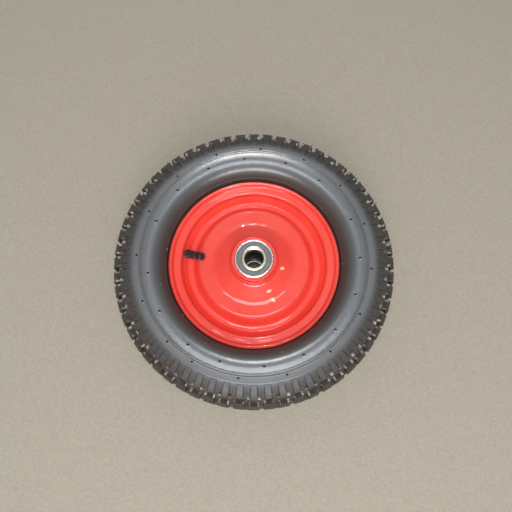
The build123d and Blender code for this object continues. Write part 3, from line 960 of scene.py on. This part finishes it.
# %% Bearings and spacer
ring_steel = plain_finish("ground steel", (0.60, 0.59, 0.56), 0.26, 500.0, 0.00002, 1.0, 0.10)
race_steel = plain_finish("oiled steel", (0.43, 0.39, 0.32), 0.30, 500.0, 0.00002, 1.0, 0.15)
seal_grey = plain_finish("seal rubber", (0.175, 0.170, 0.165), 0.6, 160.0, 0.00005, 0.0, 0.22)
sleeve_steel = plain_finish("sleeve steel", (0.22, 0.23, 0.26), 0.42, 120.0, 0.00004, 1.0, 0.35)
outer_ring_reach = 26.0 * millimetre
outer_ring_land = 23.1 * millimetre
seal_seat = 23.7 * millimetre
inner_ring_land = 16.35 * millimetre
bore_radius = 12.5 * millimetre
ring_chamfer = 0.8 * millimetre
seal_recess = 0.35 * millimetre
seal_thickness = 1.6 * millimetre
seal_lip = inner_ring_land + 0.15 * millimetre
bearing_middle = half_hub - bearing_width / 2
race_radius = 4.13 * millimetre
ball_circle = 19.25 * millimetre
race_offset = 0.131 * millimetre
inner_race_centre = ball_circle + race_offset
outer_race_centre = ball_circle - race_offset


def race(centre, land, outward):
    """Arc of the ball groove in a ring, from its lower edge on the land to its upper one."""
    reach = abs(land - centre)
    half = degrees(atan2(sqrt(race_radius ** 2 - reach ** 2), reach))
    if outward:
        return arc((centre, bearing_middle), race_radius, half, -half, 8)
    return arc((centre, bearing_middle), race_radius, 180 + half, 180 - half, 8)


top = half_hub
bottom = seat_end
step_depth = seal_recess + seal_thickness
outer_corners = ([(outer_ring_reach, bottom + ring_chamfer), (outer_ring_reach, top - ring_chamfer),
                  (outer_ring_reach - ring_chamfer, top), (seal_seat, top), (seal_seat, top - step_depth),
                  (outer_ring_land, top - step_depth)] + race(outer_race_centre, outer_ring_land, True)
                 + [(outer_ring_land, bottom + step_depth), (seal_seat, bottom + step_depth),
                    (seal_seat, bottom), (outer_ring_reach - ring_chamfer, bottom)])
outer_rounds = [0.0003, 0.0003, 0.0003, 0.00015, 0, 0] + [0] * 9 + [0, 0, 0.00015, 0.0003]
inner_corners = ([(inner_ring_land, top), (bore_radius + ring_chamfer, top),
                  (bore_radius, top - ring_chamfer), (bore_radius, bottom + ring_chamfer),
                  (bore_radius + ring_chamfer, bottom),
                  (inner_ring_land, bottom)] + race(inner_race_centre, inner_ring_land, False))
inner_rounds = [0.0003, 0.0004, 0.0003, 0.0003, 0.0003, 0.0003] + [0] * 9
seal_top = top - seal_recess
seal_corners = [(seal_seat, seal_top - seal_thickness), (seal_seat, seal_top), (0.0228, seal_top),
                (0.0226, seal_top - 0.0004), (0.0220, seal_top - 0.0004), (0.0218, seal_top),
                (0.0182, seal_top), (0.0176, seal_top - 0.00025), (seal_lip, seal_top - 0.00025),
                (seal_lip, seal_top - seal_thickness)]
seal_rounds = [0, 0.0003, 0.0001, 0.0001, 0.0001, 0.0001, 0.0002, 0.0002, 0.0001, 0]
parts = (("bearing_outer_ring", outer_corners, outer_rounds, ring_steel, "wheel", "ring_steel"),
         ("bearing_inner_ring", inner_corners, inner_rounds, race_steel, "inner_rings", "ring_steel"),
         ("bearing_face_seal", seal_corners, seal_rounds, seal_grey, "wheel", "seal_rubber"))
for side, sign in (("upper", 1), ("lower", -1)):
    for part, corners, bends, finish, body, slot in parts:
        section = [(r, sign * z) for r, z in rounded(corners, bends, 2)]
        piece = turned_piece(side + "_" + part + "_look", section, finish, 144, 30.0)
        dress(piece, body, slot, side + "_" + part)

sleeve_outer = 16.0 * millimetre
sleeve_bore = 14.2 * millimetre
sleeve_corners = [(sleeve_bore, -seat_end), (sleeve_outer, -seat_end), (sleeve_outer, seat_end),
                  (sleeve_bore, seat_end)]
sleeve = turned_piece("spacer_look", rounded(sleeve_corners, 0.0003, 2), sleeve_steel, 96, 30.0)
dress(sleeve, "inner_rings", "sleeve_steel", "spacer_sleeve")

# %% [markdown]
# The remaining pieces lie out of sight: the inner tube, the valve's brass parts, the balls, their
# cages and the seals behind them. They keep the model's own shapes and only receive a finish.

# %% Hidden pieces
tube_rubber = plain_finish("tube rubber", (0.02, 0.02, 0.021), 0.5, 80.0)
brass = plain_finish("brass", (0.72, 0.46, 0.17), 0.3, 300.0, 0.00003, 1.0, 0.15)
ball_steel = plain_finish("ball steel", (0.78, 0.78, 0.79), 0.12, 200.0, 0.00001, 1.0, 0.05)
cage_steel = plain_finish("cage steel", (0.5, 0.5, 0.48), 0.38, 250.0, 0.00003, 1.0, 0.2)
hidden = {"inner_tube": tube_rubber, "valve_body": brass, "valve_core": brass, "valve_pin": brass,
          "upper_bearing_balls": ball_steel, "lower_bearing_balls": ball_steel,
          "upper_bearing_cage": cage_steel, "lower_bearing_cage": cage_steel,
          "upper_bearing_back_seal": seal_grey, "lower_bearing_back_seal": seal_grey}
for node, finish in hidden.items():
    mesh = bpy.data.objects[node].data
    mesh.materials.clear()
    mesh.materials.append(finish)
    smooth_by_angle(mesh, 30.0)
print("hidden pieces dressed:", len(hidden))

# %% [markdown]
# The picture has a plain pale floor. A flat sheet under the wheel is enough, with the grain of bare
# concrete in its colour, and no step or edge that the camera could see.

# %% Floor
floor_size = 3.0
floor_mesh = bpy.data.meshes.new("floor")
floor_corners = [(x, y, -half_width) for x, y in ((-floor_size, -floor_size), (floor_size, -floor_size),
                                                  (floor_size, floor_size), (-floor_size, floor_size))]
floor_mesh.from_pydata(floor_corners, [], [(0, 1, 2, 3)])
floor = bpy.data.objects.new("floor", floor_mesh)
bpy.context.collection.objects.link(floor)
floor_paint = plain_finish("floor", (0.455, 0.392, 0.302), 0.8, 380.0, 0.0003, 0.0, 0.16)
floor_mesh.materials.append(floor_paint)
print("floor's height in mm:", round(-half_width / millimetre, 1))

# %% [markdown]
# The light is soft studio light. Area lamps are the simplest way: a large one overhead and one on the
# near side light the wheel, and the second is kept out of reflections. Gloss needs lamps of its own,
# since what it shows is the lamp itself: a long strip low on the near side for the sheen on rubber and
# bends, and small lamps beyond the wheel, which the paint shows as a row of spots. They add no light
# to matt surfaces. The world adds an even pale fill.

# %% Lights
def area_light(name, place, target, size, power, colour, length=None):
    """A soft lamp of a given size, turned to face a point."""
    lamp_data = bpy.data.lights.new(name, "AREA")
    lamp_data.shape = "RECTANGLE"
    lamp_data.size = size
    lamp_data.size_y = length or size
    lamp_data.energy = power
    lamp_data.color = colour
    lamp = bpy.data.objects.new(name, lamp_data)
    bpy.context.collection.objects.link(lamp)
    lamp.location = place
    lamp.rotation_euler = (Vector(target) - Vector(place)).to_track_quat("-Z", "Y").to_euler()
    return lamp


def gloss_lamp(*place_and_size):
    """A lamp that only shows in gloss, and throws no light on matt surfaces."""
    area_light(*place_and_size).visible_diffuse = False


area_light("overhead", (0.0, -0.40, 2.2), (0, -0.40, 0), 1.15, 31.0, (0.89, 0.945, 1.0), 0.85)
near_fill = area_light("near fill", (0.0, -2.0, 2.0), (0, 0, 0), 1.2, 22.0, (1.0, 0.985, 0.95), 1.2)
near_fill.visible_glossy = False
gloss_lamp("near strip", (0.0, -1.75, 0.86), (0, 0, 0), 2.0, 90.0, (0.97, 0.985, 1.0), 0.30)
gloss_lamp("far window", (-0.12, 0.80, 2.2), (0, 0, 0), 0.32, 0.55, (1.0, 0.99, 0.97), 0.07)
spot_spacing = 0.13
for number in range(4):
    across = (number - 2) * spot_spacing
    gloss_lamp("spot " + str(number), (across, 1.15, 1.55), (0, 0, 0), 0.045, 4.5, (1, 1, 1))

world = bpy.data.worlds.new("world")
bpy.context.scene.world = world
world.use_nodes = True
background = world.node_tree.nodes["Background"]
background.inputs["Color"].default_value = (0.94, 0.97, 1.0, 1)
background.inputs["Strength"].default_value = 0.36
bpy.context.scene.view_settings.view_transform = "Standard"
